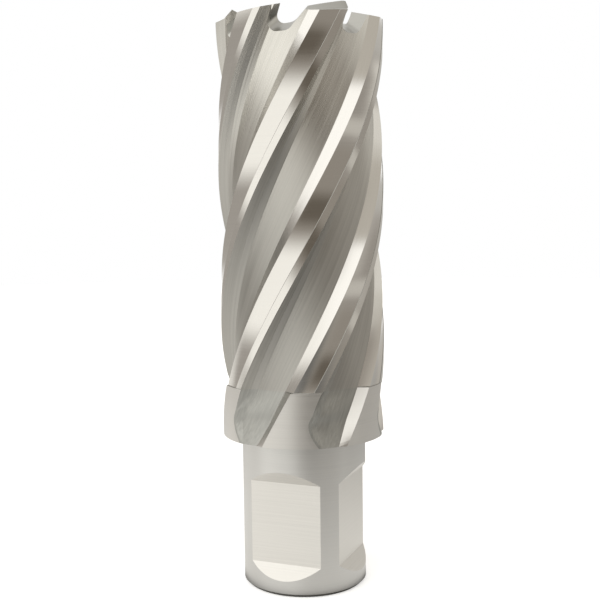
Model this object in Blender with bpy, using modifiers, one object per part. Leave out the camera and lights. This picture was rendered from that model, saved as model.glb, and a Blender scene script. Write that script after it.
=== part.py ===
"""Annular cutter: a hollow, helically fluted core drill on a plain shank with two side-lock flats.

Metres, +Z up. The shank's end stands on z = 0, the axis is Z and the teeth point up.
Azimuths run from -Y, which the first flat faces, towards +X, which the second flat faces.
"""

import math

import bmesh
import bpy
from mathutils import Matrix, Vector

# Shank
SHANK_DIAMETER = 0.01905
SHANK_LENGTH = 0.0233
SHANK_CHAMFER = 0.0005
PILOT_HOLE_DIAMETER = 0.0064

# Two flats for the holder's screws, a quarter turn apart
FLAT_FROM_AXIS = 0.00772
FLAT_BOTTOM = 0.0044
FLAT_LENGTH = 0.0125
FLAT_RAMP_LENGTH = 0.0020
FLAT_AZIMUTHS = (0.0, math.radians(90))

# Collar above the shank, and the ground cutting length above the collar
COLLAR_LENGTH = 0.0081
COLLAR_UNDERSIZE = 0.00008
CUTTING_DIAMETER = 0.0250
CUTTING_LENGTH = 0.0558
WALL = 0.0042

# Teeth and helical flutes; angles run from a tooth's leading edge, forwards counting as more
TOOTH_COUNT = 6
LEAD = 0.1382
LEADING_EDGE_AZIMUTH = math.radians(12.4)
MARGIN_ANGLE = math.radians(5.7)
MARGIN_HEIGHT = 0.00007
LAND_ANGLE = math.radians(19.2)
LAND_RELIEF = 0.00012
HEEL_ANGLE = math.radians(26.3)
FLUTE_DEPTH = 0.00144
FLUTE_HOLLOW = 0.0006
FLUTE_CORNER_ANGLE = math.radians(3.8)
CORNER_BEVEL_ANGLE = math.radians(1.8)
CORNER_BEVEL_HEIGHT = 0.00054

# In the plain collar the flutes narrow and grow shallow, and leave it through its lower edge
COLLAR_EDGE_ANGLE = math.radians(2.0)
COLLAR_HEEL_EDGE_ANGLE = math.radians(20.9)
COLLAR_STEP_HEIGHT = 0.00012
RUN_OUT_HEIGHT = 0.0040
RUN_OUT_EDGE_ANGLE = math.radians(18.8)
RUN_OUT_DEPTH = 0.00045
RUN_OUT_CORNER_DEPTH = 0.00012

# Tooth tips from the rim inwards, as (distance in from the rim, distance below the highest
# point, fall per radian behind the cutting edge). Crest teeth and flat teeth take turns.
CREST_TIP = (
    (0.0, 0.0016, 0.0009),
    (0.0013, 0.0012, 0.0011),
    (0.0024, 0.0, 0.0019),
    (0.0041, 0.0008, 0.0013),
)
FLAT_TIP = (
    (0.0, 0.0012, 0.0010),
    (0.0041, 0.00025, 0.0010),
)
NOTCH_FROM_RIM = 0.00195
NOTCH_WIDTH = 0.0007
NOTCH_DEPTH = 0.0008
NOTCH_ANGLE = math.radians(14)
TIP_ANGLE_AHEAD = math.radians(12)
TIP_ANGLE_BEHIND = math.radians(44)

# Gullets ground through the wall ahead of each cutting face; shares are of one pitch along the bore
GULLET_DEPTH_SHARE = 0.357
GULLET_SLOPE = math.radians(32)
GULLET_FACE_AHEAD_SHARE = 0.0713
GULLET_FACE_LEAN = math.radians(18.5)
GULLET_CORNER_SHARE = 0.138
GULLET_WIDTH_SHARE = 0.2186
GULLET_HEEL_SHARE = 0.184
GULLET_HEEL_RISE = math.radians(45)

# Fineness
TURNED_STEPS = 96
RING_SPACING = 0.0021
LAND_STEPS = 2
FLOOR_STEPS = 5
TIP_STEPS = 14
GULLET_CORNER_STEPS = 6
GULLET_HEEL_STEPS = 3
OVERLAP = 0.001
CLEAR = 0.002

shank_radius = SHANK_DIAMETER / 2
cutting_radius = CUTTING_DIAMETER / 2
collar_radius = cutting_radius - COLLAR_UNDERSIZE
collar_top = SHANK_LENGTH + COLLAR_LENGTH
tip_height = collar_top + CUTTING_LENGTH
bore_radius = cutting_radius - WALL
pitch = 2 * math.pi / TOOTH_COUNT
twist = 2 * math.pi / LEAD
bore_pitch = pitch * bore_radius


def polar(radius, azimuth, height):
    """The point at this radius and height, its azimuth counted from -Y towards +X."""
    return Vector((radius * math.sin(azimuth), -radius * math.cos(azimuth), height))


def mix(a, b, share):
    return a + (b - a) * share


def smooth_share(value, start, end):
    """0 at start, 1 at end, with a soft change between them."""
    share = min(max((value - start) / (end - start), 0.0), 1.0)
    return share * share * (3 - 2 * share)


def clear_scene():
    for obj in list(bpy.data.objects):
        bpy.data.objects.remove(obj, do_unlink=True)


def new_collection(name, hidden):
    collection = bpy.data.collections.new(name)
    bpy.context.scene.collection.children.link(collection)
    collection.hide_render = hidden
    return collection


def new_object(name, bm, collection):
    bmesh.ops.recalc_face_normals(bm, faces=bm.faces)
    mesh = bpy.data.meshes.new(name)
    bm.to_mesh(mesh)
    bm.free()
    obj = bpy.data.objects.new(name, mesh)
    collection.objects.link(obj)
    return obj


def new_cutter(name, bm, collection):
    cutter = new_object(name, bm, collection)
    cutter.hide_render = True
    cutter.display_type = "WIRE"
    return cutter


def turned(name, profile, collection):
    """A solid turned from (radius, height) points that run down its outer side."""
    bm = bmesh.new()
    points = [bm.verts.new((radius, 0, height)) for radius, height in profile]
    for a, b in zip(points, points[1:]):
        bm.edges.new((a, b))
    mesh = bpy.data.meshes.new(name)
    bm.to_mesh(mesh)
    bm.free()
    obj = bpy.data.objects.new(name, mesh)
    collection.objects.link(obj)
    screw = obj.modifiers.new("turn", "SCREW")
    screw.axis = "Z"
    screw.steps = TURNED_STEPS
    screw.render_steps = TURNED_STEPS
    screw.use_merge_vertices = True
    screw.merge_threshold = 0.00001
    obj.hide_render = True
    obj.display_type = "WIRE"
    return obj


def boolean(target, tool, operation):
    modifier = target.modifiers.new(tool.name, "BOOLEAN")
    modifier.operation = operation
    modifier.object = tool
    modifier.solver = "EXACT"


def extruded(outline, along):
    """A closed prism: the outline's face pushed along a vector."""
    bm = bmesh.new()
    face = bm.faces.new([bm.verts.new(point) for point in outline])
    pushed = bmesh.ops.extrude_face_region(bm, geom=[face])["geom"]
    moved = [item for item in pushed if isinstance(item, bmesh.types.BMVert)]
    bmesh.ops.translate(bm, verts=moved, vec=along)
    return bm


def lofted(rings):
    """A closed solid through rings of points, with a flat face at each end."""
    bm = bmesh.new()
    rows = [[bm.verts.new(point) for point in ring] for ring in rings]
    count = len(rows[0])
    for row, following in zip(rows, rows[1:]):
        for i in range(count):
            j = (i + 1) % count
            bm.faces.new((row[i], row[j], following[j], following[i]))
    bmesh.ops.triangulate(bm, faces=bm.faces, quad_method="FIXED")
    bm.faces.new(list(reversed(rows[0])))
    bm.faces.new(rows[-1])
    bmesh.ops.recalc_face_normals(bm, faces=bm.faces)
    return bm


def joined(parts):
    """Several closed meshes put together as one."""
    whole = bmesh.new()
    for part in parts:
        mesh = bpy.data.meshes.new("part")
        part.to_mesh(mesh)
        part.free()
        whole.from_mesh(mesh)
        bpy.data.meshes.remove(mesh)
    return whole


def straight(start, end, share):
    """A point on the straight line between two points given as (angle, radius)."""
    across = mix(start[1] * math.sin(start[0]), end[1] * math.sin(end[0]), share)
    out = mix(start[1] * math.cos(start[0]), end[1] * math.cos(end[0]), share)
    return math.atan2(across, out), math.hypot(across, out)


def body_outside():
    """The outside of a tooth above the collar: flat relieved land, then the margin that cuts to size."""
    land_radius = cutting_radius - MARGIN_HEIGHT
    heel_corner = (-LAND_ANGLE, land_radius - LAND_RELIEF)
    margin_foot = (-MARGIN_ANGLE, land_radius)
    points = [straight(heel_corner, margin_foot, i / LAND_STEPS) for i in range(LAND_STEPS + 1)]
    points.append((MARGIN_HEIGHT / cutting_radius - MARGIN_ANGLE, cutting_radius))
    points.append((0.0, cutting_radius))
    return points


def collar_outside(edge_angle):
    """As many points as body_outside has, on the plain collar."""
    steps = LAND_STEPS + 2
    return [
        (mix(-COLLAR_HEEL_EDGE_ANGLE, edge_angle, i / steps), collar_radius)
        for i in range(steps + 1)
    ]


def section(height):
    """One pitch of the section, as (angle from the leading edge, radius), from one heel to the next."""
    run_out_top = SHANK_LENGTH + RUN_OUT_HEIGHT
    run_out = max(0.0, (run_out_top - height) / RUN_OUT_HEIGHT) ** 1.5
    corner_rise = 1 - smooth_share(height, run_out_top, collar_top)
    collar = 1 if height <= collar_top else 0
    floor_radius = cutting_radius - mix(FLUTE_DEPTH, RUN_OUT_DEPTH, run_out)
    corner_radius = cutting_radius - mix(FLUTE_DEPTH, RUN_OUT_CORNER_DEPTH, corner_rise)
    edge_angle = mix(corner_rise * COLLAR_EDGE_ANGLE, RUN_OUT_EDGE_ANGLE, run_out)
    outside = collar_outside(edge_angle) if collar else body_outside()
    corner_angle = mix(FLUTE_CORNER_ANGLE, RUN_OUT_EDGE_ANGLE + CORNER_BEVEL_ANGLE, run_out)
    corner = (corner_angle, corner_radius)
    bevel_share = CORNER_BEVEL_HEIGHT / FLUTE_DEPTH
    bevel = (
        corner_angle - (corner_angle - edge_angle) * CORNER_BEVEL_ANGLE / FLUTE_CORNER_ANGLE,
        mix(corner_radius, outside[-1][1], bevel_share),
    )
    heel = (-HEEL_ANGLE, floor_radius)
    next_heel = (pitch - HEEL_ANGLE, floor_radius)
    hollow = FLUTE_HOLLOW * (1 - run_out)
    floor = []
    for i in range(1, FLOOR_STEPS):
        share = i / FLOOR_STEPS
        dip = hollow * 4 * share * (1 - share)
        floor.append(
            (mix(corner[0], next_heel[0], share), mix(corner[1], next_heel[1], share) - dip)
        )
    return [heel] + outside + [bevel, corner] + floor


def ring_heights():
    """Heights of the sections: closer together in the run-out, with the step at the collar's top."""
    run_out_top = SHANK_LENGTH + RUN_OUT_HEIGHT
    spans = (
        (SHANK_LENGTH, run_out_top, RING_SPACING / 3),
        (run_out_top, collar_top, RING_SPACING),
        (collar_top + COLLAR_STEP_HEIGHT, tip_height + CLEAR, RING_SPACING),
    )
    heights = []
    for start, end, spacing in spans:
        count = max(1, round((end - start) / spacing))
        first = 1 if heights and start == heights[-1] else 0
        heights += [mix(start, end, i / count) for i in range(first, count + 1)]
    return heights


def fluted_body(name, collection):
    """The collar and cutting length: the section lofted along the helix."""
    rings = []
    for height in ring_heights():
        turn = LEADING_EDGE_AZIMUTH + twist * height
        rings.append(
            [
                polar(radius, turn + tooth * pitch + angle, height)
                for tooth in range(TOOTH_COUNT)
                for angle, radius in section(height)
            ]
        )
    return new_object(name, lofted(rings), collection)


def shank(collection):
    return turned(
        "shank",
        [
            (0, SHANK_LENGTH + OVERLAP),
            (shank_radius, SHANK_LENGTH + OVERLAP),
            (shank_radius, SHANK_CHAMFER),
            (shank_radius - SHANK_CHAMFER, 0),
            (0, 0),
        ],
        collection,
    )


def core_cutter(collection):
    """The slug cavity, down to the collar, and the pilot hole on through the shank."""
    pilot_radius = PILOT_HOLE_DIAMETER / 2
    top = tip_height + 2 * CLEAR
    return turned(
        "core_cutter",
        [
            (0, top),
            (bore_radius, top),
            (bore_radius, collar_top),
            (pilot_radius, collar_top),
            (pilot_radius, -CLEAR),
            (0, -CLEAR),
        ],
        collection,
    )


def flat_cutter(collection):
    """Both flats: a block outside each, its ends sloped into ramps."""
    top = FLAT_BOTTOM + FLAT_LENGTH
    depth = shank_radius - FLAT_FROM_AXIS
    reach = depth + CLEAR
    ramp = FLAT_RAMP_LENGTH * reach / depth
    half = shank_radius + CLEAR
    parts = []
    for azimuth in FLAT_AZIMUTHS:
        turn = Matrix.Rotation(azimuth, 3, "Z")
        outline = [
            (-half, -FLAT_FROM_AXIS, FLAT_BOTTOM),
            (-half, -FLAT_FROM_AXIS, top),
            (-half, -FLAT_FROM_AXIS - reach, top + ramp),
            (-half, -FLAT_FROM_AXIS - reach, FLAT_BOTTOM - ramp),
        ]
        points = [turn @ Vector(point) for point in outline]
        parts.append(extruded(points, turn @ Vector((2 * half, 0, 0))))
    return new_cutter("flat_cutter", joined(parts), collection)


def extended(profile):
    """The profile with both its ends carried on past the rim and the bore."""
    first, second = profile[0], profile[1]
    last, before = profile[-1], profile[-2]
    outer_slope = (first[1] - second[1]) / (first[0] - second[0])
    inner_slope = (last[1] - before[1]) / (last[0] - before[0])
    outer = (first[0] + CLEAR, first[1] + outer_slope * CLEAR, first[2])
    inner = (last[0] - CLEAR, last[1] - inner_slope * CLEAR, last[2])
    return [outer] + profile + [inner]


def tip_profile(tip):
    """A tip as (radius, height, fall per radian), from past the rim to past the bore."""
    return extended(
        [(cutting_radius - inset, tip_height - drop, fall) for inset, drop, fall in tip]
    )


def notched(profile, share):
    """The flat tip with its chip notch, at this share of the notch's length behind the edge."""
    outer, inner = profile[0], profile[-1]
    points = []
    for offset, depth in ((-0.5, 0.0), (0.0, NOTCH_DEPTH), (0.5, 0.0)):
        radius = cutting_radius - NOTCH_FROM_RIM - offset * NOTCH_WIDTH
        along = (outer[0] - radius) / (outer[0] - inner[0])
        height = mix(outer[1], inner[1], along) - depth * max(0.0, 1 - share)
        points.append((radius, height, outer[2]))
    return [outer] + points + [inner]


def tip_cutter(collection):
    """What is ground off above each tooth, its lower side falling away behind the cutting edge."""
    roof = tip_height + 2 * CLEAR
    sweep = TIP_ANGLE_AHEAD + TIP_ANGLE_BEHIND
    parts = []
    for tooth in range(TOOTH_COUNT):
        crest = tooth % 2 == 1
        profile = tip_profile(CREST_TIP if crest else FLAT_TIP)
        edge = LEADING_EDGE_AZIMUTH + twist * tip_height + tooth * pitch
        rings = []
        for i in range(TIP_STEPS + 1):
            behind = sweep * i / TIP_STEPS - TIP_ANGLE_AHEAD
            points = profile if crest else notched(profile, behind / NOTCH_ANGLE)
            ring = [
                polar(radius, edge - behind, height - fall * max(0.0, behind))
                for radius, height, fall in points
            ]
            ring.append(polar(points[-1][0], edge - behind, roof))
            ring.append(polar(points[0][0], edge - behind, roof))
            rings.append(ring)
        parts.append(lofted(rings))
    return new_cutter("tip_cutter", joined(parts), collection)


def gullet_outline(distance):
    """The gullet's section this far from the axis, as (distance ahead of the radial line, height)."""
    deepest = tip_height - GULLET_DEPTH_SHARE * bore_pitch
    bottom = deepest - math.tan(GULLET_SLOPE) * (distance - bore_radius)
    top = tip_height + CLEAR
    lean = GULLET_FACE_LEAN

    def face(height):
        return GULLET_FACE_AHEAD_SHARE * bore_pitch + (height - tip_height) * math.tan(lean)

    radius = GULLET_CORNER_SHARE * bore_pitch
    centre_height = bottom + radius
    touch_height = centre_height + radius * math.sin(lean)
    centre = face(touch_height) + radius * math.cos(lean)
    outline = [(face(top), top)]
    for i in range(GULLET_CORNER_STEPS + 1):
        turn = mix(-lean, math.pi / 2, i / GULLET_CORNER_STEPS)
        outline.append(
            (centre - radius * math.cos(turn), centre_height - radius * math.sin(turn))
        )
    radius = GULLET_HEEL_SHARE * bore_pitch
    for i in range(GULLET_HEEL_STEPS + 1):
        turn = GULLET_HEEL_RISE * i / GULLET_HEEL_STEPS
        outline.append(
            (
                GULLET_WIDTH_SHARE * bore_pitch + radius * math.sin(turn),
                bottom + radius * (1 - math.cos(turn)),
            )
        )
    ahead, height = outline[-1]
    outline.append((ahead + (top - height) / math.tan(GULLET_HEEL_RISE), top))
    return outline


def gullet_cutter(collection):
    """One gullet ahead of each tooth, sloping down and outwards."""
    parts = []
    for tooth in range(TOOTH_COUNT):
        edge = LEADING_EDGE_AZIMUTH + twist * tip_height + tooth * pitch
        radial = polar(1, edge, 0)
        ahead = polar(1, edge + math.pi / 2, 0)
        rings = []
        for distance in (bore_radius - CLEAR, cutting_radius + CLEAR):
            rings.append(
                [
                    radial * distance + ahead * offset + Vector((0, 0, height))
                    for offset, height in gullet_outline(distance)
                ]
            )
        parts.append(lofted(rings))
    return new_cutter("gullet_cutter", joined(parts), collection)


def ground_steel():
    material = bpy.data.materials.new("ground_high_speed_steel")
    material.use_nodes = True
    shader = material.node_tree.nodes["Principled BSDF"]
    shader.inputs["Base Color"].default_value = (0.62, 0.60, 0.57, 1)
    shader.inputs["Metallic"].default_value = 1.0
    shader.inputs["Roughness"].default_value = 0.28
    return material


def build():
    clear_scene()
    parts = new_collection("annular_cutter_parts", hidden=False)
    cutters = new_collection("cutters", hidden=True)
    cutter = fluted_body("annular_cutter", parts)
    boolean(cutter, tip_cutter(cutters), "DIFFERENCE")
    boolean(cutter, gullet_cutter(cutters), "DIFFERENCE")
    boolean(cutter, shank(cutters), "UNION")
    boolean(cutter, core_cutter(cutters), "DIFFERENCE")
    boolean(cutter, flat_cutter(cutters), "DIFFERENCE")
    cutter.data.materials.append(ground_steel())
    cutter.data.shade_smooth()
    cutter.data.set_sharp_from_angle(angle=math.radians(12))


build()
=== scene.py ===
"""Looks of the annular cutter: a fine mesh for the CAD solid, ground steel, camera and studio."""

import math

import bmesh
import bpy
from mathutils import Matrix, Vector


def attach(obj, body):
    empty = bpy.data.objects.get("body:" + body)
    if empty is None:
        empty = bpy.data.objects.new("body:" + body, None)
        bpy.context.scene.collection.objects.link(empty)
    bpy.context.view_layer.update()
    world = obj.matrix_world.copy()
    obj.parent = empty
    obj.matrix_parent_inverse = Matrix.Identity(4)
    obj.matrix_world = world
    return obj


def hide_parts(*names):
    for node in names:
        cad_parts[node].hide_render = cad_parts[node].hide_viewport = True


# Shank
SHANK_DIAMETER = 0.01905
SHANK_LENGTH = 0.0233
SHANK_CHAMFER = 0.0005
PILOT_HOLE_DIAMETER = 0.0064

# Two flats for the holder's screws, a quarter turn apart
FLAT_FROM_AXIS = 0.00772
FLAT_BOTTOM = 0.0044
FLAT_LENGTH = 0.0125
FLAT_RAMP_LENGTH = 0.0020
FLAT_AZIMUTHS = (0.0, math.radians(90))

# Collar above the shank, and the ground cutting length above the collar
COLLAR_LENGTH = 0.0081
COLLAR_UNDERSIZE = 0.00008
CUTTING_DIAMETER = 0.0250
CUTTING_LENGTH = 0.0558
WALL = 0.0042

# Teeth and helical flutes; angles run from a tooth's leading edge, forwards counting as more.
# The deepest share is of the flute floor's width, from the leading wall.
TOOTH_COUNT = 6
LEAD = 0.1382
LEADING_EDGE_AZIMUTH = math.radians(12.4)
MARGIN_ANGLE = math.radians(5.7)
MARGIN_HEIGHT = 0.00007
LAND_ANGLE = math.radians(19.2)
LAND_RELIEF = 0.00012
HEEL_ANGLE = math.radians(26.3)
FLUTE_DEPTH = 0.00144
FLUTE_HOLLOW = 0.0006
FLUTE_DEEPEST_SHARE = 0.16
FLUTE_CORNER_ANGLE = math.radians(3.8)
CORNER_BEVEL_ANGLE = math.radians(1.8)
CORNER_BEVEL_HEIGHT = 0.00054

# In the plain collar the flutes narrow and grow shallow, and leave it through its lower edge
COLLAR_EDGE_ANGLE = math.radians(2.0)
COLLAR_HEEL_EDGE_ANGLE = math.radians(20.9)
COLLAR_STEP_HEIGHT = 0.00012
RUN_OUT_HEIGHT = 0.0040
RUN_OUT_EDGE_ANGLE = math.radians(18.8)
RUN_OUT_DEPTH = 0.00045
RUN_OUT_CORNER_DEPTH = 0.00012
RUN_OUT_POWER = 1.5

# Tooth tips from the rim inwards, as (distance in from the rim, distance below the highest
# point, fall per radian behind the cutting edge). Crest teeth and flat teeth take turns.
CREST_TIP = (
    (0.0, 0.0016, 0.0009),
    (0.0013, 0.0012, 0.0011),
    (0.0024, 0.0, 0.0019),
    (0.0041, 0.0008, 0.0013),
)
FLAT_TIP = (
    (0.0, 0.0012, 0.0010),
    (0.0041, 0.00025, 0.0010),
)
NOTCH_FROM_RIM = 0.00195
NOTCH_WIDTH = 0.0007
NOTCH_DEPTH = 0.0008
NOTCH_ANGLE = math.radians(14)
TIP_ANGLE_AHEAD = math.radians(12)
TIP_ANGLE_BEHIND = math.radians(44)

# Gullets ground through the wall ahead of each cutting face
GULLET_DEPTH = 0.0031
GULLET_SLOPE = math.radians(32)
GULLET_FACE_AHEAD = 0.00062
GULLET_FACE_LEAN = math.radians(18.5)
GULLET_CORNER_RADIUS = 0.0012
GULLET_WIDTH = 0.0019
GULLET_HEEL_RADIUS = 0.0016
GULLET_HEEL_RISE = math.radians(45)

# Fineness
TURNED_STEPS = 288
RING_SPACING = 0.0004
LAND_STEPS = 6
FLOOR_STEPS = 18
TIP_STEPS = 40
GULLET_CORNER_STEPS = 16
GULLET_HEEL_STEPS = 10
OVERLAP = 0.001
CLEAR = 0.002
MERGE_DISTANCE = 0.00001
SHARP_ANGLE = math.radians(14)

shank_radius = SHANK_DIAMETER / 2
cutting_radius = CUTTING_DIAMETER / 2
collar_radius = cutting_radius - COLLAR_UNDERSIZE
collar_top = SHANK_LENGTH + COLLAR_LENGTH
tip_height = collar_top + CUTTING_LENGTH
bore_radius = cutting_radius - WALL
pitch = 2 * math.pi / TOOTH_COUNT
twist = 2 * math.pi / LEAD

# Camera, in the frame turned so that the photograph looks along +Y
VIEW_AZIMUTH = math.radians(21.9)
CAMERA_DISTANCE = 0.15871
CAMERA_HEIGHT = 0.05944
CAMERA_PITCH = math.radians(5.656)
CAMERA_YAW = math.radians(-0.131)
CAMERA_ROLL = math.radians(-0.684)
SENSOR_MM = 36
FOCAL_PIXELS = 1036.18
PICTURE_PIXELS = 600
CLIP_START = 0.005
CLIP_END = 10

# Studio: its dim level, then soft cards laid over it in turn, as (name, left, right, low, high,
# soft edge, level). Angles are degrees seen from the object: to the right of the camera, and up.
STUDIO_LEVEL = (0.50, 0.47, 0.43)
STUDIO_CARDS = (
    ("backdrop", 155, 201, -10, 70, 20, (1.05, 1.04, 1.02)),
    ("overhead", -180, 180, 52, 100, 20, (0.80, 0.78, 0.74)),
    ("back_right", 131, 160, -34, 40, 14, (0.62, 0.60, 0.56)),
    ("right_wall", 72, 125, 10, 45, 14, (0.84, 0.81, 0.74)),
    ("right_wall_back", 96, 128, 8, 45, 12, (0.98, 0.95, 0.88)),
    ("right_low", 62, 118, -30, 10, 16, (0.44, 0.41, 0.37)),
    ("right_foot", 84, 150, -34, -3, 10, (0.62, 0.59, 0.54)),
    ("front_upper", 15, 85, 24, 62, 14, (0.68, 0.64, 0.57)),
    ("front_dark", -16, 62, -20, 26, 16, (0.40, 0.365, 0.32)),
    ("camera_dark", 2, 24, -12, 20, 14, (0.18, 0.155, 0.125)),
    ("front_foot", -16, 84, -34, -8, 8, (0.48, 0.45, 0.40)),
    ("right_strip", 69, 82, -34, 22, 8, (0.74, 0.71, 0.65)),
    ("key", -86, -13, -22, 52, 26, (1.36, 1.34, 1.27)),
    ("key_top", -103, 14, 28, 95, 16, (1.55, 1.53, 1.47)),
)
FLOOR_RADIUS = 0.6
FLOOR_COLOUR = 0.8
FLOOR_GLOW = 0.5
FLOOR_SEGMENTS = 64

# The floor as the metal shows it: dim, with pools of light under the key and the backdrop, as
# (metres to the right of the object, metres behind it, radius where it ends, where it is full,
# level). Farther out the metal shows the studio itself. The last pool darkens the shank's foot.
FLOOR_IN_METAL = 0.10
FLOOR_IN_METAL_FULL = 0.15
FLOOR_IN_METAL_END = 0.28
FLOOR_IN_METAL_TINT = (1, 0.98, 0.93, 1)
FLOOR_POOLS = (
    (-0.20, 0.00, 0.29, 0.08, 0.92),
    (0.10, 0.40, 0.52, 0.10, 0.65),
    (0.00, 0.00, 0.10, 0.03, 0.32),
    (0.12, -0.01, 0.16, 0.04, 0.24),
    (0.08, -0.12, 0.17, 0.05, 0.10),
    # Painted contact shadow under the shank's foot, as the metal shows the floor
    (0.00, 0.00, 0.0125, 0.0098, -0.90),
)

STEEL_COLOUR = (0.64, 0.625, 0.60)
FLUTE_COLOUR = (0.61, 0.595, 0.56)
# The flute run-outs in the collar are dimmed with painted shade
RUN_OUT_PAINTED_SHADE_COLOUR = (0.42, 0.42, 0.40)
FLAT_COLOUR = (0.72, 0.705, 0.675)
SHANK_COLOUR = (0.62, 0.615, 0.60)
# The step faces are dimmed with painted shade, which keeps their highlight down to the collar's
# level
STEP_PAINTED_SHADE_COLOUR = (0.34, 0.33, 0.31)
# The tips, gullets and bore are dimmed with painted shade of the gullets and the hollow
TIP_AND_BORE_PAINTED_SHADE_COLOUR = (0.48, 0.475, 0.45)

# Grinding marks: how closely the noise runs along X, Y and Z, its detail, the part of its range
# that is used, and the relief. The flute's marks lean as the helix does at MARK_RADIUS.
ALONG_FLUTE = (3000, 3000, 30)
ROUND_AXIS = (60, 60, 8000)
MARK_DETAIL = 4.0
MARK_ROUGHNESS = 0.6
MARK_LOW = 0.3
MARK_HIGH = 0.7
MARK_DEPTH = 0.00002
MARK_RADIUS = 0.0108

# Finishes, as (colour, shade of the marks, roughness, its variation, bump, anisotropy, marks)
FINISHES = {
    "flute": (FLUTE_COLOUR, 0.11, 0.25, 0.05, 0.5, 0.88, ALONG_FLUTE),
    "run_out": (RUN_OUT_PAINTED_SHADE_COLOUR, 0.14, 0.46, 0.04, 0.5, 0.5, ALONG_FLUTE),
    "land": (STEEL_COLOUR, 0.02, 0.12, 0.03, 0.1, 0.0, ROUND_AXIS),
    "heel": (STEEL_COLOUR, 0.02, 0.14, 0.03, 0.1, 0.3, ALONG_FLUTE),
    "step": (STEP_PAINTED_SHADE_COLOUR, 0.02, 0.50, 0.03, 0.1, 0.0, ROUND_AXIS),
    "collar": (STEEL_COLOUR, 0.03, 0.34, 0.05, 0.3, 0.7, ROUND_AXIS),
    "shank": (SHANK_COLOUR, 0.03, 0.38, 0.05, 0.3, 0.6, ROUND_AXIS),
    "flat": (FLAT_COLOUR, 0.04, 0.42, 0.05, 0.6, 0.6, ROUND_AXIS),
    "tip": (TIP_AND_BORE_PAINTED_SHADE_COLOUR, 0.04, 0.34, 0.04, 0.3, 0.0, ROUND_AXIS),
    "bore": (TIP_AND_BORE_PAINTED_SHADE_COLOUR, 0.04, 0.35, 0.04, 0.3, 0.0, ROUND_AXIS),
}

# The flutes are rougher towards the collar between these heights, and painted shade dims their
# colour there
COARSE_HEIGHT = 0.052
FINE_HEIGHT = 0.078
COARSE_ROUGHNESS = 0.15
PAINTED_SHADE_NEAR_COLLAR = 0.26

# How far a face may lie off a surface and still take its finish, and which way it faces
HOLE_SLACK = 1.01
HEIGHT_SLACK = 0.00001
SHANK_SLACK = 0.0001
COLLAR_SLACK = 0.00002
END_FACE_UP = 0.99
TIP_FACE_UP = 0.45


def polar(radius, azimuth, height):
    """The point at this radius and height, its azimuth counted from -Y towards +X."""
    return Vector((radius * math.sin(azimuth), -radius * math.cos(azimuth), height))


def mix(a, b, share):
    return a + (b - a) * share


def smooth_share(value, start, end):
    """0 at start, 1 at end, with a soft change between them."""
    share = min(max((value - start) / (end - start), 0.0), 1.0)
    return share * share * (3 - 2 * share)


def new_object(name, bm):
    bmesh.ops.recalc_face_normals(bm, faces=bm.faces)
    mesh = bpy.data.meshes.new(name)
    bm.to_mesh(mesh)
    bm.free()
    obj = bpy.data.objects.new(name, mesh)
    bpy.context.scene.collection.objects.link(obj)
    return obj


def turned(name, profile):
    """A solid turned from (radius, height) points that run down its outer side."""
    bm = bmesh.new()
    points = [bm.verts.new((radius, 0, height)) for radius, height in profile]
    for a, b in zip(points, points[1:]):
        bm.edges.new((a, b))
    mesh = bpy.data.meshes.new(name)
    bm.to_mesh(mesh)
    bm.free()
    obj = bpy.data.objects.new(name, mesh)
    bpy.context.scene.collection.objects.link(obj)
    screw = obj.modifiers.new("turn", "SCREW")
    screw.axis = "Z"
    screw.steps = TURNED_STEPS
    screw.render_steps = TURNED_STEPS
    screw.use_merge_vertices = True
    screw.merge_threshold = MERGE_DISTANCE
    return obj


def extruded(outline, along):
    """A closed prism: the outline's face pushed along a vector."""
    bm = bmesh.new()
    face = bm.faces.new([bm.verts.new(point) for point in outline])
    pushed = bmesh.ops.extrude_face_region(bm, geom=[face])["geom"]
    moved = [item for item in pushed if isinstance(item, bmesh.types.BMVert)]
    bmesh.ops.translate(bm, verts=moved, vec=along)
    return bm


def lofted(rings):
    """A closed solid through rings of points, with a flat face at each end."""
    bm = bmesh.new()
    rows = [[bm.verts.new(point) for point in ring] for ring in rings]
    count = len(rows[0])
    for row, following in zip(rows, rows[1:]):
        for i in range(count):
            j = (i + 1) % count
            bm.faces.new((row[i], row[j], following[j], following[i]))
    bmesh.ops.triangulate(bm, faces=bm.faces, quad_method="FIXED")
    bm.faces.new(list(reversed(rows[0])))
    bm.faces.new(rows[-1])
    bmesh.ops.recalc_face_normals(bm, faces=bm.faces)
    return bm


def joined(parts):
    """Several closed meshes put together as one."""
    whole = bmesh.new()
    for part in parts:
        mesh = bpy.data.meshes.new("part")
        part.to_mesh(mesh)
        part.free()
        whole.from_mesh(mesh)
        bpy.data.meshes.remove(mesh)
    return whole


def straight(start, end, share):
    """A point on the straight line between two points given as (angle, radius)."""
    across = mix(start[1] * math.sin(start[0]), end[1] * math.sin(end[0]), share)
    out = mix(start[1] * math.cos(start[0]), end[1] * math.cos(end[0]), share)
    return math.atan2(across, out), math.hypot(across, out)


def body_outside():
    """The outside of a tooth above the collar: flat relieved land, then the raised margin."""
    land_radius = cutting_radius - MARGIN_HEIGHT
    heel_corner = (-LAND_ANGLE, land_radius - LAND_RELIEF)
    margin_foot = (-MARGIN_ANGLE, land_radius)
    points = [straight(heel_corner, margin_foot, i / LAND_STEPS) for i in range(LAND_STEPS + 1)]
    points.append((MARGIN_HEIGHT / cutting_radius - MARGIN_ANGLE, cutting_radius))
    points.append((-MARGIN_ANGLE / 2, cutting_radius))
    points.append((0.0, cutting_radius))
    return points


def collar_outside(edge_angle):
    """As many points as body_outside has, on the plain collar."""
    steps = LAND_STEPS + 3
    return [
        (mix(-COLLAR_HEEL_EDGE_ANGLE, edge_angle, i / steps), collar_radius)
        for i in range(steps + 1)
    ]


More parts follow.
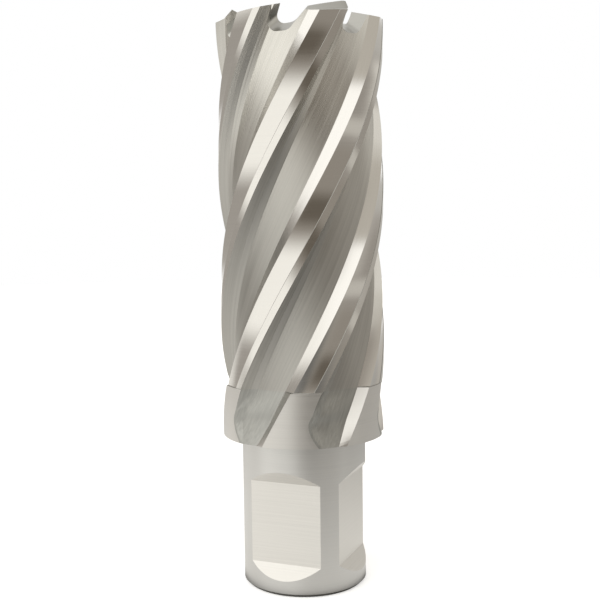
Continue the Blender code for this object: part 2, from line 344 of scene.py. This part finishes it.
def section(height):
    """One pitch of the section, from heel to heel, as (angle from the leading edge, radius)."""
    run_out_top = SHANK_LENGTH + RUN_OUT_HEIGHT
    run_out = max(0.0, (run_out_top - height) / RUN_OUT_HEIGHT) ** RUN_OUT_POWER
    corner_rise = 1 - smooth_share(height, run_out_top, collar_top)
    floor_radius = cutting_radius - mix(FLUTE_DEPTH, RUN_OUT_DEPTH, run_out)
    corner_radius = cutting_radius - mix(FLUTE_DEPTH, RUN_OUT_CORNER_DEPTH, corner_rise)
    edge_angle = mix(corner_rise * COLLAR_EDGE_ANGLE, RUN_OUT_EDGE_ANGLE, run_out)
    outside = collar_outside(edge_angle) if height <= collar_top else body_outside()
    corner_angle = mix(FLUTE_CORNER_ANGLE, RUN_OUT_EDGE_ANGLE + CORNER_BEVEL_ANGLE, run_out)
    corner = (corner_angle, corner_radius)
    bevel_share = CORNER_BEVEL_HEIGHT / FLUTE_DEPTH
    bevel = (
        corner_angle - (corner_angle - edge_angle) * CORNER_BEVEL_ANGLE / FLUTE_CORNER_ANGLE,
        mix(corner_radius, outside[-1][1], bevel_share),
    )
    heel = (-HEEL_ANGLE, floor_radius)
    next_heel = (pitch - HEEL_ANGLE, floor_radius)
    hollow = FLUTE_HOLLOW * (1 - run_out)
    floor = []
    for i in range(1, FLOOR_STEPS):
        share = i / FLOOR_STEPS
        if share < FLUTE_DEEPEST_SHARE:
            dip = hollow * share / FLUTE_DEEPEST_SHARE
        else:
            past = (share - FLUTE_DEEPEST_SHARE) / (1 - FLUTE_DEEPEST_SHARE)
            dip = hollow * (1 - past**2)
        floor.append(
            (mix(corner[0], next_heel[0], share), mix(corner[1], next_heel[1], share) - dip)
        )
    return [heel] + outside + [bevel, corner] + floor


def ring_heights():
    """Heights of the sections, with the step at the collar's top."""
    spans = (
        (SHANK_LENGTH, collar_top, RING_SPACING),
        (collar_top + COLLAR_STEP_HEIGHT, tip_height + CLEAR, RING_SPACING),
    )
    heights = []
    for start, end, spacing in spans:
        count = max(1, round((end - start) / spacing))
        heights += [mix(start, end, i / count) for i in range(count + 1)]
    return heights


def fluted_body(name):
    """The collar and cutting length: the section lofted along the helix."""
    rings = []
    for height in ring_heights():
        turn = LEADING_EDGE_AZIMUTH + twist * height
        rings.append(
            [
                polar(radius, turn + tooth * pitch + angle, height)
                for tooth in range(TOOTH_COUNT)
                for angle, radius in section(height)
            ]
        )
    return new_object(name, lofted(rings))


def shank():
    return turned(
        "shank",
        [
            (0, SHANK_LENGTH + OVERLAP),
            (shank_radius, SHANK_LENGTH + OVERLAP),
            (shank_radius, SHANK_CHAMFER),
            (shank_radius - SHANK_CHAMFER, 0),
            (0, 0),
        ],
    )


def core_cutter():
    """The slug cavity, down to the collar, and the pilot hole on through the shank."""
    pilot_radius = PILOT_HOLE_DIAMETER / 2
    top = tip_height + 2 * CLEAR
    return turned(
        "core_cutter",
        [
            (0, top),
            (bore_radius, top),
            (bore_radius, collar_top),
            (pilot_radius, collar_top),
            (pilot_radius, -CLEAR),
            (0, -CLEAR),
        ],
    )


def flat_cutter():
    """Both flats: a block outside each, its ends sloped into ramps."""
    top = FLAT_BOTTOM + FLAT_LENGTH
    depth = shank_radius - FLAT_FROM_AXIS
    reach = depth + CLEAR
    ramp = FLAT_RAMP_LENGTH * reach / depth
    half = shank_radius + CLEAR
    parts = []
    for azimuth in FLAT_AZIMUTHS:
        turn = Matrix.Rotation(azimuth, 3, "Z")
        outline = [
            (-half, -FLAT_FROM_AXIS, FLAT_BOTTOM),
            (-half, -FLAT_FROM_AXIS, top),
            (-half, -FLAT_FROM_AXIS - reach, top + ramp),
            (-half, -FLAT_FROM_AXIS - reach, FLAT_BOTTOM - ramp),
        ]
        points = [turn @ Vector(point) for point in outline]
        parts.append(extruded(points, turn @ Vector((2 * half, 0, 0))))
    return new_object("flat_cutter", joined(parts))


def extended(profile):
    """The profile with both its ends carried on past the rim and the bore."""
    first, second = profile[0], profile[1]
    last, before = profile[-1], profile[-2]
    outer_slope = (first[1] - second[1]) / (first[0] - second[0])
    inner_slope = (last[1] - before[1]) / (last[0] - before[0])
    outer = (first[0] + CLEAR, first[1] + outer_slope * CLEAR, first[2])
    inner = (last[0] - CLEAR, last[1] - inner_slope * CLEAR, last[2])
    return [outer] + profile + [inner]


def tip_profile(tip):
    """A tip as (radius, height, fall per radian), from past the rim to past the bore."""
    return extended(
        [(cutting_radius - inset, tip_height - drop, fall) for inset, drop, fall in tip]
    )


def notched(profile, share):
    """The flat tip with its chip notch, at this share of the notch's length behind the edge."""
    outer, inner = profile[0], profile[-1]
    points = []
    for offset, depth in ((-0.5, 0.0), (0.0, NOTCH_DEPTH), (0.5, 0.0)):
        radius = cutting_radius - NOTCH_FROM_RIM - offset * NOTCH_WIDTH
        along = (outer[0] - radius) / (outer[0] - inner[0])
        height = mix(outer[1], inner[1], along) - depth * max(0.0, 1 - share)
        points.append((radius, height, outer[2]))
    return [outer] + points + [inner]


def tip_cutter():
    """What is ground off above each tooth, its lower side falling away behind the cutting edge."""
    roof = tip_height + 2 * CLEAR
    sweep = TIP_ANGLE_AHEAD + TIP_ANGLE_BEHIND
    parts = []
    for tooth in range(TOOTH_COUNT):
        crest = tooth % 2 == 1
        profile = tip_profile(CREST_TIP if crest else FLAT_TIP)
        edge = LEADING_EDGE_AZIMUTH + twist * tip_height + tooth * pitch
        rings = []
        for i in range(TIP_STEPS + 1):
            behind = sweep * i / TIP_STEPS - TIP_ANGLE_AHEAD
            points = profile if crest else notched(profile, behind / NOTCH_ANGLE)
            ring = [
                polar(radius, edge - behind, height - fall * max(0.0, behind))
                for radius, height, fall in points
            ]
            ring.append(polar(points[-1][0], edge - behind, roof))
            ring.append(polar(points[0][0], edge - behind, roof))
            rings.append(ring)
        parts.append(lofted(rings))
    return new_object("tip_cutter", joined(parts))


def gullet_outline(distance):
    """The gullet's section this far from the axis, as (distance ahead of the radius, height)."""
    bottom = tip_height - GULLET_DEPTH - math.tan(GULLET_SLOPE) * (distance - bore_radius)
    top = tip_height + CLEAR
    lean = GULLET_FACE_LEAN

    def face(height):
        return GULLET_FACE_AHEAD + (height - tip_height) * math.tan(lean)

    radius = GULLET_CORNER_RADIUS
    centre_height = bottom + radius
    touch_height = centre_height + radius * math.sin(lean)
    centre = face(touch_height) + radius * math.cos(lean)
    outline = [(face(top), top)]
    for i in range(GULLET_CORNER_STEPS + 1):
        turn = mix(-lean, math.pi / 2, i / GULLET_CORNER_STEPS)
        outline.append(
            (centre - radius * math.cos(turn), centre_height - radius * math.sin(turn))
        )
    radius = GULLET_HEEL_RADIUS
    for i in range(GULLET_HEEL_STEPS + 1):
        turn = GULLET_HEEL_RISE * i / GULLET_HEEL_STEPS
        outline.append(
            (
                GULLET_WIDTH + radius * math.sin(turn),
                bottom + radius * (1 - math.cos(turn)),
            )
        )
    ahead, height = outline[-1]
    outline.append((ahead + (top - height) / math.tan(GULLET_HEEL_RISE), top))
    return outline


def gullet_cutter():
    """One gullet ahead of each tooth, sloping down and outwards."""
    parts = []
    for tooth in range(TOOTH_COUNT):
        edge = LEADING_EDGE_AZIMUTH + twist * tip_height + tooth * pitch
        radial = polar(1, edge, 0)
        ahead = polar(1, edge + math.pi / 2, 0)
        rings = []
        for distance in (bore_radius - CLEAR, cutting_radius + CLEAR):
            rings.append(
                [
                    radial * distance + ahead * offset + Vector((0, 0, height))
                    for offset, height in gullet_outline(distance)
                ]
            )
        parts.append(lofted(rings))
    return new_object("gullet_cutter", joined(parts))


def fine_cutter():
    """The cutter as one fine mesh: the CAD part's forms in smaller steps.

    Its flutes are deepest nearer the leading wall than the solid's, and its lands 0.08 mm higher.
    """
    body = fluted_body("fluted_blank")
    steps = (
        (tip_cutter(), "DIFFERENCE"),
        (gullet_cutter(), "DIFFERENCE"),
        (shank(), "UNION"),
        (core_cutter(), "DIFFERENCE"),
        (flat_cutter(), "DIFFERENCE"),
    )
    for tool, operation in steps:
        modifier = body.modifiers.new(tool.name, "BOOLEAN")
        modifier.operation = operation
        modifier.object = tool
        modifier.solver = "EXACT"
    bpy.context.view_layer.update()
    graph = bpy.context.evaluated_depsgraph_get()
    mesh = bpy.data.meshes.new_from_object(body.evaluated_get(graph))
    mesh.name = "cutter_fine"
    mesh.materials.clear()
    for tool, _ in steps:
        bpy.data.objects.remove(tool, do_unlink=True)
    bpy.data.objects.remove(body, do_unlink=True)
    piece = bpy.data.objects.new("cutter_fine", mesh)
    bpy.context.scene.collection.objects.link(piece)
    mesh.shade_smooth()
    mesh.set_sharp_from_angle(angle=SHARP_ANGLE)
    return piece


def set_camera():
    """The photograph's camera: its place, turn and focal length."""
    forward = Vector(
        (
            math.sin(CAMERA_YAW) * math.cos(CAMERA_PITCH),
            math.cos(CAMERA_YAW) * math.cos(CAMERA_PITCH),
            -math.sin(CAMERA_PITCH),
        )
    )
    right = forward.cross(Vector((0, 0, 1))).normalized()
    up = right.cross(forward)
    rolled_right = right * math.cos(CAMERA_ROLL) + up * math.sin(CAMERA_ROLL)
    rolled_up = up * math.cos(CAMERA_ROLL) - right * math.sin(CAMERA_ROLL)
    turn = Matrix.Rotation(VIEW_AZIMUTH, 3, "Z")
    axes = (turn @ rolled_right, turn @ rolled_up, turn @ -forward)
    data = bpy.data.cameras.new("camera")
    data.sensor_width = SENSOR_MM
    data.lens = SENSOR_MM * FOCAL_PIXELS / PICTURE_PIXELS
    data.clip_start = CLIP_START
    data.clip_end = CLIP_END
    camera = bpy.data.objects.new("camera", data)
    bpy.context.scene.collection.objects.link(camera)
    camera.matrix_world = (
        Matrix.Translation(turn @ Vector((0, -CAMERA_DISTANCE, CAMERA_HEIGHT)))
        @ Matrix(axes).transposed().to_4x4()
    )
    bpy.context.scene.camera = camera


def node(tree, kind, settings=None, inputs=None):
    """A new node with these settings; an input is a value, or a socket that it is linked from."""
    made = tree.nodes.new(kind)
    for name, value in (settings or {}).items():
        setattr(made, name, value)
    for name, value in (inputs or {}).items():
        if isinstance(value, bpy.types.NodeSocket):
            tree.links.new(value, made.inputs[name])
        else:
            made.inputs[name].default_value = value
    return made


def math_node(tree, operation, *values):
    """The result of one sum on numbers or sockets."""
    made = node(tree, "ShaderNodeMath", {"operation": operation}, dict(enumerate(values)))
    return made.outputs[0]


def vector_node(tree, operation, first, second=None):
    """The node of one operation on vectors or sockets."""
    values = {0: first} if second is None else {0: first, 1: second}
    return node(tree, "ShaderNodeVectorMath", {"operation": operation}, values)


def map_range(tree, value, start, end, low=0.0, high=1.0, interpolation="SMOOTHSTEP"):
    """The value carried from start..end over to low..high."""
    ranged = node(
        tree,
        "ShaderNodeMapRange",
        {"interpolation_type": interpolation},
        {"Value": value, "From Min": start, "From Max": end, "To Min": low, "To Max": high},
    )
    return ranged.outputs["Result"]


def past_object(tree, path):
    """1 where the ray is the camera's own or has passed through glass."""
    rays = path.outputs
    return math_node(tree, "MAXIMUM", rays["Is Camera Ray"], rays["Is Transmission Ray"])


def soft_band(tree, value, half, soft):
    """1 within half of zero, falling softly to 0 over soft on both sides."""
    away = math_node(tree, "ABSOLUTE", value)
    return map_range(tree, away, half + soft / 2, half - soft / 2)


def studio_world():
    """A dim studio with soft cards, and plain white where the camera looks past the object."""
    world = bpy.data.worlds.new("studio")
    world.use_nodes = True
    tree = world.node_tree
    tree.nodes.clear()
    direction = node(tree, "ShaderNodeTexCoord").outputs["Generated"]
    axes = node(tree, "ShaderNodeSeparateXYZ", inputs={"Vector": direction})
    x, y, z = axes.outputs
    ahead = math_node(tree, "MULTIPLY", y, -1.0)
    azimuth = math_node(tree, "SUBTRACT", math_node(tree, "ARCTAN2", x, ahead), VIEW_AZIMUTH)
    elevation = math_node(tree, "ARCSINE", z)
    colour = node(tree, "ShaderNodeRGB")
    colour.outputs[0].default_value = (*STUDIO_LEVEL, 1)
    result = colour.outputs[0]
    for name, left, right, low, high, soft, level in STUDIO_CARDS:
        centre = math.radians((left + right) / 2)
        across = math_node(tree, "SUBTRACT", azimuth, centre)
        across = math_node(tree, "WRAP", across, math.pi, -math.pi)
        up = math_node(tree, "SUBTRACT", elevation, math.radians((low + high) / 2))
        cover = math_node(
            tree,
            "MULTIPLY",
            soft_band(tree, across, math.radians((right - left) / 2), math.radians(soft)),
            soft_band(tree, up, math.radians((high - low) / 2), math.radians(soft)),
        )
        mixed = node(tree, "ShaderNodeMix", {"data_type": "RGBA", "label": name})
        tree.links.new(cover, mixed.inputs["Factor"])
        tree.links.new(result, mixed.inputs[6])
        mixed.inputs[7].default_value = (*level, 1)
        result = mixed.outputs[2]
    studio = node(tree, "ShaderNodeBackground", inputs={"Color": result})
    white = node(tree, "ShaderNodeBackground", inputs={"Color": (1, 1, 1, 1), "Strength": 1.0})
    seen = past_object(tree, node(tree, "ShaderNodeLightPath"))
    chosen = node(
        tree, "ShaderNodeMixShader", inputs={0: seen, 1: studio.outputs[0], 2: white.outputs[0]}
    )
    output = node(tree, "ShaderNodeOutputWorld")
    tree.links.new(chosen.outputs[0], output.inputs["Surface"])
    bpy.context.scene.world = world


def floor():
    """A white floor that keeps the object's shadow; the metal shows it with its pools of light."""
    bm = bmesh.new()
    bmesh.ops.create_circle(bm, cap_ends=True, segments=FLOOR_SEGMENTS, radius=FLOOR_RADIUS)
    mesh = bpy.data.meshes.new("floor")
    bm.to_mesh(mesh)
    bm.free()
    obj = bpy.data.objects.new("floor", mesh)
    bpy.context.scene.collection.objects.link(obj)
    material = bpy.data.materials.new("white_floor")
    material.use_nodes = True
    tree = material.node_tree
    tree.nodes.clear()
    white = (FLOOR_COLOUR, FLOOR_COLOUR, FLOOR_COLOUR, 1)
    lit = node(tree, "ShaderNodeBsdfDiffuse", inputs={"Color": white})
    path = node(tree, "ShaderNodeLightPath")
    strength = math_node(tree, "MULTIPLY", past_object(tree, path), FLOOR_GLOW)
    glow = node(
        tree, "ShaderNodeEmission", inputs={"Color": (1, 1, 1, 1), "Strength": strength}
    )
    both = node(tree, "ShaderNodeAddShader", inputs={0: lit.outputs[0], 1: glow.outputs[0]})
    place = node(tree, "ShaderNodeTexCoord").outputs["Object"]
    level = FLOOR_IN_METAL
    for right, behind, end, full, pool_level in FLOOR_POOLS:
        centre = Matrix.Rotation(VIEW_AZIMUTH, 3, "Z") @ Vector((right, behind, 0))
        away = vector_node(tree, "DISTANCE", place, centre).outputs["Value"]
        pool = map_range(tree, away, end, full, 0.0, pool_level)
        level = math_node(tree, "ADD", level, pool)
    in_metal = node(
        tree, "ShaderNodeEmission", inputs={"Color": FLOOR_IN_METAL_TINT, "Strength": level}
    )
    away = vector_node(tree, "LENGTH", place).outputs["Value"]
    fade = map_range(tree, away, FLOOR_IN_METAL_FULL, FLOOR_IN_METAL_END)
    clear = node(tree, "ShaderNodeBsdfTransparent")
    faded = node(
        tree, "ShaderNodeMixShader", inputs={0: fade, 1: in_metal.outputs[0], 2: clear.outputs[0]}
    )
    chosen = node(
        tree,
        "ShaderNodeMixShader",
        inputs={0: path.outputs["Is Glossy Ray"], 1: both.outputs[0], 2: faded.outputs[0]},
    )
    output = node(tree, "ShaderNodeOutputMaterial")
    tree.links.new(chosen.outputs[0], output.inputs["Surface"])
    mesh.materials.append(material)


def steel(name, colour, shade, roughness, variation, bump, anisotropic, marks):
    """Ground steel with fine marks: round the axis, or along the flutes."""
    material = bpy.data.materials.new("steel_" + name)
    material.use_nodes = True
    tree = material.node_tree
    shader = tree.nodes["Principled BSDF"]
    shader.inputs["Metallic"].default_value = 1.0
    shader.inputs["Anisotropic"].default_value = anisotropic
    place = node(tree, "ShaderNodeTexCoord").outputs["Object"]
    height = node(tree, "ShaderNodeSeparateXYZ", inputs={"Vector": place}).outputs["Z"]
    if marks == ALONG_FLUTE:
        turn = math_node(tree, "MULTIPLY", height, -twist)
        straightened = node(
            tree,
            "ShaderNodeVectorRotate",
            {"rotation_type": "Z_AXIS"},
            {"Vector": place, "Angle": turn},
        )
        along = straightened.outputs[0]
        around = vector_node(tree, "CROSS_PRODUCT", (0, 0, 1), place).outputs[0]
        lean = (0, 0, -twist * MARK_RADIUS**2)
        across = vector_node(tree, "ADD", around, lean).outputs[0]
    else:
        along = place
        across = node(tree, "ShaderNodeCombineXYZ", inputs={"Z": 1.0}).outputs[0]
    tree.links.new(across, shader.inputs["Tangent"])
    stretched = vector_node(tree, "MULTIPLY", along, marks).outputs[0]
    streaks = node(
        tree,
        "ShaderNodeTexNoise",
        inputs={
            "Vector": stretched,
            "Scale": 1.0,
            "Detail": MARK_DETAIL,
            "Roughness": MARK_ROUGHNESS,
        },
    ).outputs[0]
    tint = map_range(tree, streaks, MARK_LOW, MARK_HIGH, 1 - shade, 1 + shade, "LINEAR")
    rough = map_range(
        tree, streaks, MARK_LOW, MARK_HIGH, roughness - variation, roughness + variation, "LINEAR"
    )
    # Towards the collar the flutes grow rougher, and painted shade dims their colour
    if name == "flute":
        coarse_and_shaded = map_range(tree, height, COARSE_HEIGHT, FINE_HEIGHT, 1.0, 0.0)
        painted_shade = math_node(tree, "MULTIPLY", coarse_and_shaded, PAINTED_SHADE_NEAR_COLLAR)
        tint = math_node(tree, "MULTIPLY", tint, math_node(tree, "SUBTRACT", 1.0, painted_shade))
        rougher = math_node(tree, "MULTIPLY", coarse_and_shaded, COARSE_ROUGHNESS)
        rough = math_node(tree, "ADD", rough, rougher)
    tinted = node(
        tree, "ShaderNodeVectorMath", {"operation": "SCALE"}, {0: colour, "Scale": tint}
    )
    tree.links.new(tinted.outputs[0], shader.inputs["Base Color"])
    tree.links.new(rough, shader.inputs["Roughness"])
    relief = node(
        tree,
        "ShaderNodeBump",
        inputs={"Strength": bump, "Distance": MARK_DEPTH, "Height": streaks},
    )
    tree.links.new(relief.outputs[0], shader.inputs["Normal"])
    return material


def region(centre, normal, inner_radius):
    """Which finish a face has, by its place, the way it faces and its corner nearest the axis."""
    radius = math.hypot(centre.x, centre.y)
    height = centre.z
    azimuth = math.atan2(centre.x, -centre.y)
    edge = LEADING_EDGE_AZIMUTH + twist * height
    from_edge = (azimuth - edge + HEEL_ANGLE) % pitch - HEEL_ANGLE
    hole_radius = bore_radius if height > collar_top - OVERLAP else PILOT_HOLE_DIAMETER / 2
    if radius < hole_radius * HOLE_SLACK:
        return "bore"
    if height < SHANK_LENGTH + HEIGHT_SLACK:
        on_shank = radius > shank_radius - SHANK_SLACK or abs(normal.z) > END_FACE_UP
        return "shank" if on_shank else "flat"
    reaches_bore = inner_radius < bore_radius * HOLE_SLACK
    if height > collar_top + OVERLAP and (normal.z > TIP_FACE_UP or reaches_bore):
        return "tip"
    if height <= collar_top:
        outside = inner_radius > collar_radius - COLLAR_SLACK or from_edge < 0
        return "collar" if outside else "run_out"
    if from_edge > 0:
        return "flute"
    if height < collar_top + COLLAR_STEP_HEIGHT:
        return "step"
    if from_edge < -LAND_ANGLE:
        return "heel"
    step = -MARGIN_ANGLE < from_edge < MARGIN_HEIGHT / cutting_radius - MARGIN_ANGLE
    return "step" if step else "land"


def finish_cutter(piece):
    """Give each face of the cutter the finish of its region."""
    names = list(FINISHES)
    for name in names:
        piece.data.materials.append(steel(name, *FINISHES[name]))
    corners = piece.data.vertices
    for face in piece.data.polygons:
        inner_radius = min(math.hypot(*corners[i].co.xy) for i in face.vertices)
        face.material_index = names.index(region(face.center, face.normal, inner_radius))


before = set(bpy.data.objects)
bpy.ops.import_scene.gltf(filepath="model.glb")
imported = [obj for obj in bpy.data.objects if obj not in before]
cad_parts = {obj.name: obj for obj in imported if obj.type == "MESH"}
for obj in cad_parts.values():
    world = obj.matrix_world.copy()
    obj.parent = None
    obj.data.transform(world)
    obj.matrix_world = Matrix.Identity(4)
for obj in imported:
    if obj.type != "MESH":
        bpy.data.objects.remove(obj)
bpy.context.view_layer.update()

cutter = fine_cutter()
finish_cutter(cutter)
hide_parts("annular_cutter")
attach(cutter, "root")

floor()
studio_world()
set_camera()
bpy.context.scene.view_settings.view_transform = "Standard"
